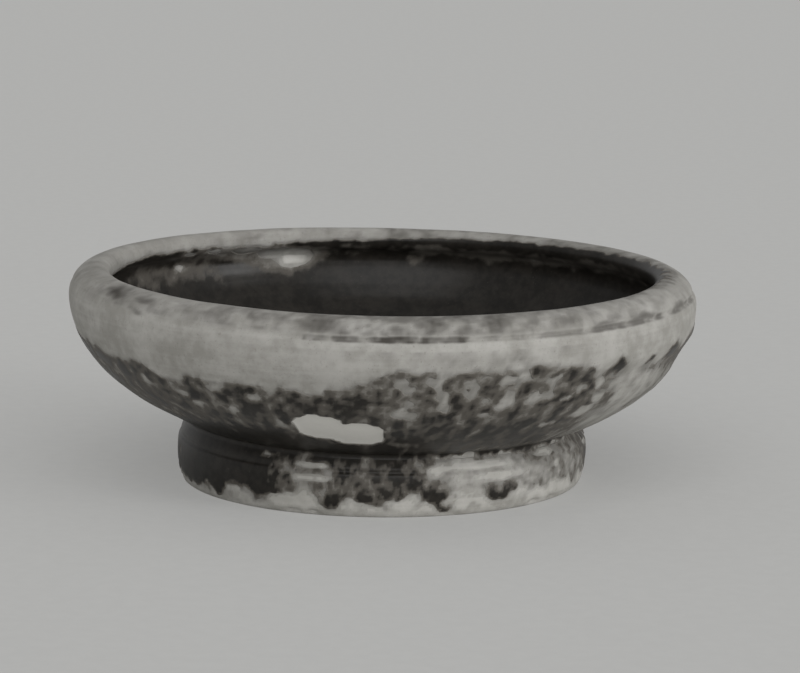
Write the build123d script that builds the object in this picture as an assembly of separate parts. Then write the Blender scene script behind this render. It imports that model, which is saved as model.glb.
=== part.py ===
from build123d import *
from math import acos, atan2, cos, degrees, hypot, radians, sin, sqrt
import os

# A low wheel-thrown bowl with an incurved lip, a ring foot luted on below and a thin coat of gloss slip.
# Sizes are millimetres and degrees. The origin is the centre of the circle that the foot rests on, +Z is up.
# Every piece is turned, so each is a flat section, with radius along X and height along Y, spun about Z.

# Bowl, from the widest circle up over the lip and down to the base
WIDEST_RADIUS = 60.0
LIP_RADIUS = 5.8
LIP_INNER_RADIUS = 2.4
LIP_BLEND_RADIUS = 3.0
SHOULDER_RADIUS = 19.2
SHOULDER_SWEEP = 50.0
BELLY_RADIUS = 54.0
WALL = 5.6

# Fine groove turned round the lip, as an angle above the widest circle
RIM_GROOVE_ANGLE = 24.0
RIM_GROOVE_RADIUS = 0.6

# Ring foot, with a fine groove turned in its outer face, a little below the joint
FOOT_HEIGHT = 12.1
FOOT_RADIUS = 38.5
FOOT_BULGE = 0.9
FOOT_TOP_THICKNESS = 8.7
FOOT_REST_THICKNESS = 6.1
FOOT_EDGE_RADIUS = 1.0
FOOT_GROOVE_DROP = 3.1
FOOT_GROOVE_RADIUS = 0.45

# Luted joint: a film of clay slip that fills scored rings in both faces and is smoothed into the corners
LUTE_THICKNESS = 0.4
LUTE_FILLET = 1.0
SCORE_COUNT = 3
SCORE_RADIUS = 0.5

# Gloss slip, worn off the lip, the upper wall and the edge that the foot rests on
SLIP_THICKNESS = 0.2
INNER_SLIP_DROP = 2.4
OUTER_SLIP_ANGLE = 10.0
FOOT_SLIP_LIFT = 2.0


def on_circle(centre, radius, angle):
    """The point of a circle at an angle from +X."""
    return (centre[0] + radius * cos(radians(angle)), centre[1] + radius * sin(radians(angle)))


def direction(start, end):
    """The angle from one point to another."""
    return degrees(atan2(end[1] - start[1], end[0] - start[0]))


def blend_centre(wall_centre, wall_radius, lip_centre, lip_radius, blend_radius):
    """The centre of the arc that touches the wall circle from inside and the lip circle from outside."""
    apart = hypot(lip_centre[0] - wall_centre[0], lip_centre[1] - wall_centre[1])
    to_wall = wall_radius - blend_radius
    to_lip = lip_radius + blend_radius
    turn = degrees(acos((apart**2 + to_wall**2 - to_lip**2) / (2 * apart * to_wall)))
    return on_circle(wall_centre, to_wall, direction(wall_centre, lip_centre) - turn)


def window(left, bottom, right, top):
    """A rectangle of the section plane."""
    return Sketch() + Pos((left + right) / 2, (bottom + top) / 2) * Rectangle(right - left, top - bottom)


def disc(centre, radius):
    """A round patch of the section plane."""
    return Sketch() + Pos(*centre) * Circle(radius)


def spin(section):
    """The solid that a section sweeps about Z."""
    return revolve(Plane.XZ * section, axis=Axis.Z)


# Centres of the wall's two tangent curves. The belly curve passes through the foot's upper outer corner.
shoulder_reach = WIDEST_RADIUS - SHOULDER_RADIUS
belly_reach = shoulder_reach - (BELLY_RADIUS - SHOULDER_RADIUS) * cos(radians(SHOULDER_SWEEP))
belly = (belly_reach, FOOT_HEIGHT + sqrt(BELLY_RADIUS**2 - (FOOT_RADIUS - belly_reach) ** 2))
shoulder = on_circle(belly, BELLY_RADIUS - SHOULDER_RADIUS, -SHOULDER_SWEEP)
base_height = belly[1] - BELLY_RADIUS
floor_height = base_height + WALL

# Centres of the lip's curves, which meet at the crest
lip = (WIDEST_RADIUS - LIP_RADIUS, shoulder[1])
crest_height = lip[1] + LIP_RADIUS
inner_lip = (lip[0], crest_height - LIP_INNER_RADIUS)
inner_shoulder_radius = SHOULDER_RADIUS - WALL
inner_belly_radius = BELLY_RADIUS - WALL
blend = blend_centre(shoulder, inner_shoulder_radius, inner_lip, LIP_INNER_RADIUS, LIP_BLEND_RADIUS)
blend_angle = direction(shoulder, blend)
lip_end_angle = direction(inner_lip, blend) % 360

# Inner radii of the ring foot, at the joint and at the table
foot_inner_top = FOOT_RADIUS - FOOT_TOP_THICKNESS
foot_inner_rest = FOOT_RADIUS - FOOT_REST_THICKNESS


def filled_section():
    """The bowl as if it were solid up to the crest."""
    edges = [
        Line((0, base_height), (belly[0], base_height)),
        CenterArc(belly, BELLY_RADIUS, -90, 90 - SHOULDER_SWEEP),
        CenterArc(shoulder, SHOULDER_RADIUS, -SHOULDER_SWEEP, SHOULDER_SWEEP),
        CenterArc(lip, LIP_RADIUS, 0, 90),
        Line((lip[0], crest_height), (0, crest_height)),
        Line((0, crest_height), (0, base_height)),
    ]
    return Sketch() + make_face(edges)


def cavity_section():
    """The hollow of the bowl, carried a wall's thickness past the axis and above the crest."""
    top = crest_height + WALL
    edges = [
        Line((lip[0], top), (lip[0], crest_height)),
        CenterArc(inner_lip, LIP_INNER_RADIUS, 90, lip_end_angle - 90),
        CenterArc(blend, LIP_BLEND_RADIUS, lip_end_angle - 180, blend_angle - lip_end_angle + 180),
        CenterArc(shoulder, inner_shoulder_radius, blend_angle, -SHOULDER_SWEEP - blend_angle),
        CenterArc(belly, inner_belly_radius, -SHOULDER_SWEEP, SHOULDER_SWEEP - 90),
        Line((belly[0], floor_height), (-WALL, floor_height)),
        Line((-WALL, floor_height), (-WALL, top)),
        Line((-WALL, top), (lip[0], top)),
    ]
    return Sketch() + make_face(edges)


def foot_blank():
    """The ring foot's outline, carried up into the belly, with its two lower edges rounded."""
    top = FOOT_HEIGHT + WALL
    outer_top = (FOOT_RADIUS, FOOT_HEIGHT)
    middle = (FOOT_RADIUS + FOOT_BULGE, FOOT_HEIGHT / 2)
    outer_rest = (FOOT_RADIUS, 0)
    inner_rest = (foot_inner_rest, 0)
    inner_top = (foot_inner_top, FOOT_HEIGHT)
    edges = [
        Line((foot_inner_top, top), (FOOT_RADIUS, top)),
        Line((FOOT_RADIUS, top), outer_top),
        ThreePointArc(outer_top, middle, outer_rest),
        Line(outer_rest, inner_rest),
        Line(inner_rest, inner_top),
        Line(inner_top, (foot_inner_top, top)),
    ]
    blank = Sketch() + make_face(edges)
    rest_corners = blank.vertices().sort_by(Axis.Y)[:2]
    return fillet(rest_corners, FOOT_EDGE_RADIUS)


def foot_groove():
    """The fine groove, a round cut centred on the foot's bulging outer face."""
    half = FOOT_HEIGHT / 2
    face_radius = (half**2 + FOOT_BULGE**2) / (2 * FOOT_BULGE)
    face_centre = FOOT_RADIUS + FOOT_BULGE - face_radius
    reach = face_centre + sqrt(face_radius**2 - (half - FOOT_GROOVE_DROP) ** 2)
    return disc((reach, FOOT_HEIGHT - FOOT_GROOVE_DROP), FOOT_GROOVE_RADIUS)


def scored_rings():
    """The scored marks of the luted joint, spaced evenly across it between the belly and the foot."""
    middle_radius = BELLY_RADIUS + LUTE_THICKNESS / 2
    inner = degrees(acos((foot_inner_top - belly[0]) / middle_radius))
    outer = degrees(acos((FOOT_RADIUS - belly[0]) / middle_radius))
    step = (inner - outer) / (SCORE_COUNT + 1)
    marks = Sketch()
    for number in range(SCORE_COUNT):
        marks += disc(on_circle(belly, middle_radius, -outer - step * (number + 1)), SCORE_RADIUS)
    return marks


# Sections of the clay pieces. The foot stops short of the bowl by the thickness of the lute.
filled = filled_section() - disc(on_circle(lip, LIP_RADIUS, RIM_GROOVE_ANGLE), RIM_GROOVE_RADIUS)
cavity = cavity_section()
blank = foot_blank() - foot_groove()
scores = scored_rings()
bowl = filled - cavity - scores
foot = blank - offset(filled, LUTE_THICKNESS) - scores

# The outside of bowl and foot together, with the joint's corners smoothed, and the lute between the two
joined = filled + blank
corners = [
    joined.vertices().sort_by_distance((FOOT_RADIUS, FOOT_HEIGHT))[0],
    joined.vertices().sort_by_distance((foot_inner_top, FOOT_HEIGHT))[0],
]
joined = fillet(corners, LUTE_FILLET)
lute = joined - filled - foot + scores

# Slip coats, each a skin of even thickness on the clay, cut off where it is worn away
slip_split = (foot_inner_rest + FOOT_RADIUS) / 2
outer_slip_top = on_circle(shoulder, SHOULDER_RADIUS, -OUTER_SLIP_ANGLE)[1]
outside_skin = offset(joined, SLIP_THICKNESS) - joined
inside_skin = cavity - offset(cavity, -SLIP_THICKNESS)
outer_slip = outside_skin & window(slip_split, FOOT_SLIP_LIFT, WIDEST_RADIUS + WALL, outer_slip_top)
underside_slip = outside_skin & window(0, FOOT_SLIP_LIFT, slip_split, floor_height)
inner_slip = inside_skin & window(0, base_height, WIDEST_RADIUS, crest_height - INNER_SLIP_DROP)

pieces = {
    "bowl_body": spin(bowl),
    "foot_ring": spin(foot),
    "luting_slip": spin(lute),
    "inner_slip_coat": spin(inner_slip),
    "outer_slip_coat": spin(outer_slip),
    "underside_slip_coat": spin(underside_slip),
}

os.makedirs("parts", exist_ok=True)
for name, piece in pieces.items():
    export_step(piece, f"parts/{name}.step")
print(f"height {crest_height:.2f}, base {base_height:.2f}, floor {floor_height:.2f}")
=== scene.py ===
import math

import bpy
import numpy as np
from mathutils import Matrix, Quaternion, Vector, noise

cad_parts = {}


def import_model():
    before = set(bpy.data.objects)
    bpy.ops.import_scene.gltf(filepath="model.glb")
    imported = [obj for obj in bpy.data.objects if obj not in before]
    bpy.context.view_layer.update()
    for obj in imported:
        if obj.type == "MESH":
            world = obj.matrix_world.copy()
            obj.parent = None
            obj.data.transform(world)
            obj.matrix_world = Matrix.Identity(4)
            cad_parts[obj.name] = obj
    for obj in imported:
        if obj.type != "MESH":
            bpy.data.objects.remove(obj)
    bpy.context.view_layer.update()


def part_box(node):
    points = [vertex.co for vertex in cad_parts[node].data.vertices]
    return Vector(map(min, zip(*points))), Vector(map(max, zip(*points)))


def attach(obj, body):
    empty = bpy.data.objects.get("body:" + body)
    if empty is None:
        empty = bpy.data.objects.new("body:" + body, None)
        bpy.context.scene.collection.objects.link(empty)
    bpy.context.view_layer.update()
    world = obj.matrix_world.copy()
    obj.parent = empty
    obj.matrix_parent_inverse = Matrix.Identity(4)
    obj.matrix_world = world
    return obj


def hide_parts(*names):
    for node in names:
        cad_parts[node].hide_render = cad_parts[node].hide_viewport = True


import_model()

# Lengths are millimetres until a mesh is made. Azimuth is in degrees: 0 faces the camera, along -Y, and
# it grows to the right, towards +X. Marks are ovals on the surface: (azimuth, height, half width, half
# height), some with a strength after that. Noise is a level and layers: (strength, size, shift). A pair
# named for what it measures, such as heights, gives the two values between which something fades.
MM = 0.001

# Points of a path this near are one, and lengths under the second are none
SAME_POINT = 0.01
TINY = 1e-6

# Curves of the turned profile, the same as in the CAD solids
LIP_RADIUS = 5.8
LIP_INNER_RADIUS = 2.4
LIP_BLEND_RADIUS = 3.0
SHOULDER_RADIUS = 19.2
SHOULDER_SWEEP = 50.0
BELLY_RADIUS = 54.0
WALL = 5.6
RIM_GROOVE_ANGLE = 24.0
FOOT_HEIGHT = 12.1
FOOT_BULGE = 0.9
FOOT_TOP_THICKNESS = 8.7
FOOT_REST_THICKNESS = 6.1
FOOT_EDGE_RADIUS = 1.0
FOOT_GROOVE_DROP = 3.1
LUTE_THICKNESS = 0.4
LUTE_FILLET = 1.0

# Places read from the frame
bowl_low, bowl_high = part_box("bowl_body")
WIDEST = bowl_high.x / MM
CREST = bowl_high.z / MM
BASE = bowl_low.z / MM
FOOT_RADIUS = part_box("foot_ring")[1].x / MM - FOOT_BULGE

# The two turned grooves, softened by wear: (depth, half width), and the half widths meshed closely
RIM_GROOVE = (0.42, 0.52)
FOOT_GROOVE = (0.26, 0.45)
GROOVE_REACH = 2.2

# The foot's outer face and flat rest: how deep, how high, and the heights where stains come in
FOOT_FACE_DEPTH = 1.5
FOOT_REST_HEIGHT = 0.35
REST_FADE = (0.2, 1.4)

# Slip thickness, whole and at its worn edge, how far it is bedded in the clay, and the levels of slip, 0
# at its edge, from which thickness and colour are whole
SLIP_FULL = 0.13
SLIP_EDGE = 0.03
SLIP_BED = 0.01
THICK_LEVEL = 0.4
WHOLE_LEVEL = 0.5

# Ends of the slip's sheets, as angles on the lip and on the shoulder, and the level of slip there
INNER_SLIP_START = 66
OUTER_SLIP_END = -2
BARE_LEVEL = -0.02

# Edges of the slip: how much each takes away, and the distances inside it over which that fades
OUTER_END = (1.1, -0.8, 1.8)
FOOT_END = (0.9, -0.6, 1.4)
INNER_END = (1.2, -0.3, 0.8)
UNDER_END = (0.9, 1.2, 3.4)

# Soft lumps, below the true form by a margin, and throwing rings inside: (depth, spacing), with heights
# over the floor and over the wall
LUMPS = (0, (0.1, 15, 15), (0.045, 6, 6))
LUMP_MARGIN = 0.16
THROWING_RINGS = (0.035, 2.9)
RINGS_START = (-1, 4)
RINGS_END = (-2, 1)

# A wall flatter in places on the left and on the right: (height, depth)
FLAT_LEFT = (
    (0, 0.1), (8.4, 0.3), (11.6, 1.1), (14.6, 1.6), (17.6, 1.1), (24.6, 0.9), (29.6, 0.4),
    (34.6, 0.1), (42, 0),
)
FLAT_RIGHT = (
    (0, 0), (9.6, 0), (11.4, 1), (12.4, 1), (13.8, 0.1), (18.6, 0.1), (22.6, 0.5),
    (26.6, 1.1), (28.6, 1.6), (30.2, 1.6), (31.8, 0.8), (33.4, 0.2), (34.6, 0),
)
FLAT_RADII = (20, 36)

# A bowl askew on its foot, lower on the right, a rim that dips at front and back, and an oval mouth
ASKEW = 1.26
ASKEW_HEIGHTS = (3, 12)
SADDLE = 0.54
SADDLE_HEIGHTS = (28, 37)
SADDLE_RADII = (30, 45)
OVAL = 0.004

# Mesh columns round the axis
BOWL_COLUMNS = 560
FOOT_COLUMNS = 440
LUTE_COLUMNS = 300
OUTER_COLUMNS = 620
INNER_COLUMNS = 460
UNDER_COLUMNS = 320

# A slip shell's bake map: bands for outside and bed, as (start, height), and its rim's width to length
OUTSIDE_BAND = (0.01, 0.88)
BED_BAND = (0.91, 0.08)
RIM_SHARE = 0.2

# Upper edge of the slip outside: (azimuth, height)
OUTER_EDGE = (
    (-180, 31.2), (-140, 32), (-110, 30.4), (-67, 30), (-52, 29), (-42, 27.8), (-25, 28.2),
    (-8, 28.2), (-3, 30.2), (1, 32.6), (25, 32.8), (36, 32.6), (41, 30.6), (47, 32.2), (52, 29.4),
    (57, 32), (61, 29.2), (66, 32.4), (71, 31.2), (79, 33.2), (90, 32), (115, 32.2), (150, 30.2),
    (180, 31.2),
)

# Upper edge of the slip inside: (azimuth, height). Above the crest it goes on over the lip.
INNER_EDGE = (
    (-180, 39.7), (-168, 39.2), (-156, 38.7), (-134, 38.9), (-112, 38.9), (-100, 37.9), (-80, 37.9),
    (-60, 39), (-30, 40.2), (0, 41.1), (45, 41.2), (75, 41.5), (92, 41.7), (104, 41.3), (123, 40.9),
    (147, 40.5), (166, 40), (180, 39.7),
)

# How whole the slip is outside: the most there is, and marks with a change to its mottled level
SLIP_MOST = 0.75
OUTER_COVER = (
    (-62, 6.8, 21, 7, 0.8), (-48, 13.6, 16, 3.2, 0.4), (-26, 15.1, 14, 3.2, 0.22),
    (-8, 13, 16, 2.2, 0.28), (20, 16.6, 20, 3.6, 0.1), (-56, 22.6, 14, 5, -0.04),
    (8, 28.1, 9, 5, -0.14), (28, 28.1, 11, 5, -0.08), (34, 27.6, 9, 3.6, 0.07),
    # The first two marks here thin the slip low on the right, partly for wear, partly as painted light
    (62, 20.6, 17, 9.5, -0.52), (51, 27.6, 8, 3.6, -0.27), (-22, 6.3, 7, 4.4, -0.22),
    (2, 7.4, 8, 4, 0.05), (29, 8, 13, 4.8, -0.62), (60, 5.3, 13, 5.5, -0.36),
    (44, 12.4, 22, 0.8, 0.36), (35, 4.4, 5.4, 2.7, 0.44), (47.5, 30.2, 1.6, 1.8, 0.5),
    (57, 30.4, 1.8, 1.2, 0.6), (66, 31, 1.8, 1.6, 0.55), (-34.5, 3, 3, 2.2, 0.64),
    (-12, 3.3, 2.2, 1.3, 0.26), (14, 5.8, 3.8, 2.4, 0.3), (16, 8.6, 2.6, 1.6, -0.16),
)

# Bare flecks in the slip outside, and how much each takes away
OUTER_FLECK_DEPTH = 0.6
OUTER_FLECKS = (
    (-41.4, 23.7, 1.5, 0.9), (-38, 22.1, 1.6, 0.9), (-32, 26, 1.6, 1), (-24.2, 25.1, 1.3, 0.9),
    (-20.5, 27.2, 1.6, 1), (-12.6, 26.8, 1.7, 0.8), (-20.5, 19.5, 1, 1), (-32.4, 10.4, 1.2, 0.5),
    (-30.1, 21.6, 1.2, 0.7), (-50, 25.1, 1.2, 0.9), (3.9, 29.3, 1.7, 1.4), (4.8, 23, 2.2, 1.2),
    (10.1, 30.2, 1, 2.6), (11.5, 25.6, 1, 1.8), (16, 27.8, 1.1, 2), (22.4, 29.6, 1.4, 0.9),
    (25.4, 30, 1.4, 1.4), (23.4, 24.9, 1.5, 1.3), (28.7, 25.8, 1.4, 1.4), (32.1, 26.2, 1.4, 1.3),
    (32.4, 29, 1, 1.6), (36.2, 25.2, 1.1, 0.9), (39.3, 26.5, 1.3, 1.1), (42.4, 29.8, 1.5, 2),
    (43.3, 21.2, 1.5, 1), (44.1, 27.2, 1.2, 1), (19.5, 22.9, 1.4, 0.7), (36.5, 19.2, 1.8, 0.7),
    (53.5, 30.8, 1.2, 2.4), (58.5, 25.6, 2, 1.2), (52.2, 23.3, 1.8, 1.1), (45.4, 23.5, 1.4, 0.9),
    (15.3, 9.2, 1.2, 0.9), (9.6, 4.1, 1.4, 1.5), (24.6, 3.7, 2.6, 1.6), (57.1, 7.6, 0.8, 0.7),
    (-28, 2.6, 1.9, 1.4), (-21.5, 3.6, 2.1, 2), (-45.5, 3.6, 3.9, 1.5), (19.2, 2.8, 2.4, 0.9),
    (4, 2.4, 2.6, 0.8), (41.3, 4.1, 1.4, 1.4), (48.1, 2.2, 1.6, 1.1), (56, 2.8, 1, 1.2),
)

# Turned ridges beside the foot's groove, rubbed bare: how much each takes away, its share of the shift
# along, and how much paler bare clay on the foot is painted, partly as fresh worn clay and partly as
# painted light on its lower edge, with the levels of slip where that fades
FOOT_RUBS = (
    (-19.2, 9.8, 2.7, 0.65), (-18.6, 7.3, 4, 0.7), (28.5, 9.9, 6, 0.8), (33.5, 7.3, 4.2, 0.95),
    (17, 9.7, 2, 0.7), (53, 10.5, 3, 0.6),
)
RUB_DEPTH = 0.75
RUB_SHIFT = 0.25
FOOT_PALE_WEAR_AND_LIGHT = (0.42, -0.7, -0.3)

# A long spall low on the wall, as two lobes. Its strength takes slip away and leaves fresh clay.
SPALL = ((-12.6, 19.2, 4.6, 2.7), (-5.2, 18, 4.9, 2.5))
SPALL_STRENGTH = 2
SPALL_DEPTH = 0.2
SPALL_SQUARENESS = 2.6
SPALL_EDGE = (0.92, 1.08)
SPALL_RAGGED = (0, (0.12, 2.6, 31), (0.08, 1.1, 57))

# Chips out of the foot's lower edge: (azimuth, half width, depth), lower towards their sides by a slope
FOOT_CHIPS = (
    (-25, 2, 0.35), (-19, 1.5, 0.45), (-46, 3, 0.25), (48, 1.8, 0.5), (56, 1.4, 0.4), (19, 2.4, 0.25),
    (100, 3, 0.4), (138, 2, 0.5), (171, 3.4, 0.3), (-82, 2.4, 0.35), (-121, 2, 0.5), (-158, 2.8, 0.3),
)
CHIP_HEIGHTS = (0.4, 2)
CHIP_SIDES = (0.5, 1.1)
CHIP_SLOPE = 0.5

# Slip left as a film on the lip, from heights over its groove, and on the wall: (azimuth, strength). On
# the lip's top the film is partly painted shade of the upward-facing lip
LIP_FILM_AND_SHADE = (
    (-180, 0.44), (-150, 0.26), (-120, 0.2), (-95, 0.24), (-70, 0.3), (-40, 0.36), (-5, 0.6), (22, 0.54),
    (60, 0.26), (95, 0.2), (140, 0.44), (180, 0.44),
)
FILM_RISE = (-0.2, 1.2)
WALL_FILM = (
    (-180, 0.04), (-60, 0), (-25, 0.05), (5, 0.26), (26, 0.38), (38, 0.24), (47, 0), (62, 0),
    (120, 0.08), (180, 0.04),
)

# Slip left as darker stains on the lip
LIP_STAINS = (
    (-58, 40.4, 5, 1.1, 0.95), (-49, 40.4, 4.6, 0.9, 0.75), (-48.8, 38.4, 2.4, 0.8, 0.6),
    (-66, 38.7, 5, 2, 0.35), (-7, 41.2, 6, 0.5, 0.7), (4, 41.1, 5, 0.5, 0.6),
    (9.6, 40.6, 2, 0.9, 0.8), (9.4, 39.4, 1.6, 1, 0.5), (16.5, 41, 5, 0.6, 0.5),
    (-22, 41, 6, 0.5, 0.45), (33, 40.5, 2.4, 0.8, 0.4), (46, 39.4, 2.4, 1.2, 0.55),
    (43.5, 38.5, 4, 0.7, 0.65), (54, 38.6, 6, 0.8, 0.75), (69, 38.3, 4, 1, 0.65),
    (62, 40, 3, 0.9, 0.35), (96, 39.8, 5, 0.9, 0.6), (128, 40.5, 6, 0.6, 0.55),
    (150, 38.9, 4, 1.4, 0.5), (-176, 38.5, 6, 0.8, 0.55), (-150, 40.3, 5, 0.9, 0.5),
    (-118, 39.4, 4, 1, 0.45),
)

# Dark slip left in the lip's groove: (from azimuth, to azimuth, strength), and how much noise shifts it
GROOVE_STAINS = (
    (-14, -9, 0.7), (-8.6, -3, 0.8), (-2.4, 6, 0.95), (6.2, 15, 0.9), (15.5, 21, 0.5),
    (22, 38, 0.45), (38.5, 60, 0.7), (64, 82, 0.6), (110, 133, 0.7), (160, 175, 0.6),
    (-168, -140, 0.7), (-128, -112, 0.5),
)
DASH_ENDS = 1.2
DASH_SIDES = (0.3, 0.95)
DASH_SHIFT = 0.3

# Where the lip's groove is worn shallow: (azimuth, share of its depth)
GROOVE_WEAR = (
    (-180, 0.8), (-110, 0.6), (-80, 0.1), (-24, 0.1), (-14, 0.9), (80, 1), (140, 0.7), (180, 0.8),
)

# Bare flecks and thin places in the slip inside, how much a fleck takes away, and how much of the noise
# shifts the edge, thin places and flecks along. A few flecks and thin places are worn slip and a painted
# highlight high on the far left wall, and one broad thin place is painted light on the inner left wall
INNER_FLECK_DEPTH = 0.5
EDGE_SHIFT, THIN_SHIFT, FLECK_SHIFT = 0.5, 0.4, 0.3
INNER_FLECKS_AND_HIGHLIGHT = (
    (-131, 34.7, 1.2, 0.75), (-132.5, 37.4, 1.7, 0.5), (-139.2, 37.7, 1.3, 0.6),
    # These three flecks are worn slip and a painted highlight high on the far left wall
    (-160.3, 35.1, 3.6, 2.1), (-155, 36.2, 3.2, 0.9), (-148, 37.2, 2.6, 0.6),
)
INNER_THIN_AND_PAINTED_LIGHT = (
    # These three thin places are worn slip and a painted highlight high on the far left wall
    (-146, 37.4, 10, 1.6, 0.48), (-154, 36.1, 8, 2, 0.42), (-159, 34.7, 8, 2.8, 0.56),
    # The second thin place here, the broad one, is painted light on the inner left wall
    (-132, 37.7, 6, 1, 0.2), (-128, 33.6, 26, 4.5, 0.36), (172, 37.4, 8, 1.6, 0.24),
    (-172, 36.6, 8, 2, 0.3), (163, 36.6, 9, 2, 0.3), (149, 36.6, 9, 2, 0.34),
    (135, 36.8, 9, 2, 0.34), (121, 37, 9, 2, 0.34), (107, 37.2, 9, 2, 0.34),
    (173.5, 34.5, 2.4, 1.5, 0.45), (-60, 19.6, 14, 3, 0.26), (40, 17.6, 12, 3, 0.24),
)

# The spot inside painted paler than the clay as a highlight, and how strong the painted highlight is
INNER_PAINTED_HIGHLIGHT = (-160, 35, 3.4, 2.2)
INNER_HIGHLIGHT_STRENGTH = 0.75

# Noise of the slip outside, on a cylinder so that it is as tall on a low wall as on a steep one, and the
# height below which the foot's lower edge is worn
UNROLLED_RADIUS = 50
OUTER_ACROSS = (0, (1.2, 3.1, 7), (0.7, 1.3, 3))
OUTER_ALONG = (0, (0.8, 3.1, 17), (0.5, 1.3, 13))
OUTER_WAVE = (0, (1.1, 4.2, 23))
OUTER_MOTTLE = (0.265, (0.32, 2.4, 41), (0.24, 1, 43))
OUTER_DRIFT = (0, (0.2, 19, 47))
DRIFT_AZIMUTHS = (70, 100)
FOOT_WEAR = (2.1, (2.6, 4.5, 29))

# Noise of the slip inside and underneath. Thin places inside keep a level and a share of the mottle.
INNER_SHIFT = (0, (0.8, 2.7, 5), (0.5, 1.2, 9))
INNER_MOTTLE = (0, (0.16, 3.6, 61), (0.12, 1.3, 63))
INNER_EVEN = 0.62
INNER_LEAST = (0.09, 0.6)
UNDER_MOTTLE = (0.26, (0.36, 5, 71), (0.24, 1.7, 73))

# Stains round the slip outside, on the lip to a little beyond its middle, and inside: (strength, levels)
OUTER_HALO = (0.5, -0.55, 0.05)
LIP_HALO = (0.55, -1.1, 0.05)
LIP_HALO_REACH = 2
INNER_HALO = (0.45, 0.86, 1)

# The film's noise and its most, how stains are shifted, and the lute's own stain
FILM_MOST = 1.6
FILM_MOTTLE = (0.8, (0.9, 3.2, 85), (0.5, 1.2, 89))
STAIN_ACROSS = (0, (1.5, 3.4, 81), (0.8, 1.3, 83))
STAIN_ALONG = (0, (0.5, 2.2, 87))
LUTE_STAIN = 0.15

# Scattered flecks for the sides that the photograph doesn't show, and the range of their height to width
SEED = 11
SCATTER_HEIGHTS = (0.5, 1.1)
OUTER_SCATTER = {"count": 110, "azimuths": (75, 290), "heights": (1, 32), "sizes": (0.8, 2)}
INNER_SCATTER = {"count": 26, "azimuths": (-80, 80), "heights": (14.5, 36), "sizes": (0.6, 1.4)}

# Camera, fitted to the photograph's rim and foot: metres, degrees and pixels of its 800 by 673 frame
IMAGE_WIDTH, IMAGE_HEIGHT = 800, 673
CAMERA_TARGET = Vector((0, 0, 0.02023))
CAMERA_DISTANCE = 0.708
CAMERA_ELEVATION = 10.48
CAMERA_ROLL = 0.5
FOCAL_PIXELS = 3690
TARGET_PIXEL = (381.8, 370.9)
SENSOR_WIDTH = 36.0
CLIP_START = 0.05

# Light: dim even surroundings, a broad front light and a low soft key from the right, as strength,
# azimuth, elevation and angle across
AMBIENT = 0.38
FRONT_LIGHT = (1.15, 0.0, 34.0, 60.0)
KEY_LIGHT = (1.2, 64.0, 10.0, 26.0)

# The share of the floor's look that is its own even tone and that tone's level, and the level of the far
# surroundings, all to the camera alone, and the floor's radius in metres
FLOOR_GLOW = (0.5, 0.63)
FAR_LEVEL = 0.42
FLOOR_REACH = 6.0
FLOOR_SIDES = 96


# Plane geometry of the profile


def on_circle(centre, radius, angle):
    """The point of a circle at an angle."""
    turn = math.radians(angle)
    return (centre[0] + radius * math.cos(turn), centre[1] + radius * math.sin(turn))


def direction(start, end):
    """The angle from one point to another."""
    return math.degrees(math.atan2(end[1] - start[1], end[0] - start[0]))


def meet(first, first_radius, second, second_radius, side):
    """Where two circles cross, left (1) or right (-1) of the line between their centres."""
    apart = math.dist(first, second)
    cosine = (apart**2 + first_radius**2 - second_radius**2) / (2 * apart * first_radius)
    turn = side * math.degrees(math.acos(cosine))
    return on_circle(first, first_radius, direction(first, second) + turn)


def arc(centre, radius, start, end, step):
    """Points along an arc, about a step apart."""
    count = max(2, round(abs(math.radians(end - start)) * radius / step))
    return [on_circle(centre, radius, angle) for angle in np.linspace(start, end, count + 1)]


def line(start, end, step):
    """Points along a line, about a step apart."""
    count = max(1, round(math.dist(start, end) / step))
    return [tuple(point) for point in np.linspace(start, end, count + 1)]


def joined(*stretches, looped=False):
    """One path, as rows of radius and height, from stretches that meet end to end or in a loop."""
    points = []
    for stretch in stretches:
        for point in stretch:
            if not points or math.dist(points[-1], point) > SAME_POINT:
                points.append(point)
    return np.array(points[:-1] if looped else points)


# Centres of the wall's and the lip's curves
shoulder = (WIDEST - SHOULDER_RADIUS, CREST - LIP_RADIUS)
belly = on_circle(shoulder, SHOULDER_RADIUS - BELLY_RADIUS, -SHOULDER_SWEEP)
lip = (WIDEST - LIP_RADIUS, shoulder[1])
inner_lip = (lip[0], CREST - LIP_INNER_RADIUS)
inner_shoulder_radius = SHOULDER_RADIUS - WALL
inner_belly_radius = BELLY_RADIUS - WALL
to_shoulder, to_lip = inner_shoulder_radius - LIP_BLEND_RADIUS, LIP_INNER_RADIUS + LIP_BLEND_RADIUS
blend = meet(shoulder, to_shoulder, inner_lip, to_lip, -1)
blend_angle = direction(shoulder, blend)
lip_end_angle = direction(inner_lip, blend) % 360
floor_height = BASE + WALL
groove_height = on_circle(lip, LIP_RADIUS, RIM_GROOVE_ANGLE)[1]

# The foot's bulging outer face, its rounded edges and the smoothed corners of the joint
half_foot = FOOT_HEIGHT / 2
face_radius = (half_foot**2 + FOOT_BULGE**2) / (2 * FOOT_BULGE)
face = (FOOT_RADIUS + FOOT_BULGE - face_radius, half_foot)
bed_radius = BELLY_RADIUS + LUTE_THICKNESS
outer_corner = meet(belly, BELLY_RADIUS + LUTE_FILLET, face, face_radius + LUTE_FILLET, 1)
face_top = meet(belly, bed_radius, face, face_radius, 1)
edge_reach = math.sqrt((face_radius - FOOT_EDGE_RADIUS) ** 2 - (half_foot - FOOT_EDGE_RADIUS) ** 2)
outer_edge = (face[0] + edge_reach, FOOT_EDGE_RADIUS)
inner_rest = np.array((FOOT_RADIUS - FOOT_REST_THICKNESS, 0.0))
inner_top = np.array((FOOT_RADIUS - FOOT_TOP_THICKNESS, FOOT_HEIGHT))
inner_run = (inner_top - inner_rest) / np.linalg.norm(inner_top - inner_rest)
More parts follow.
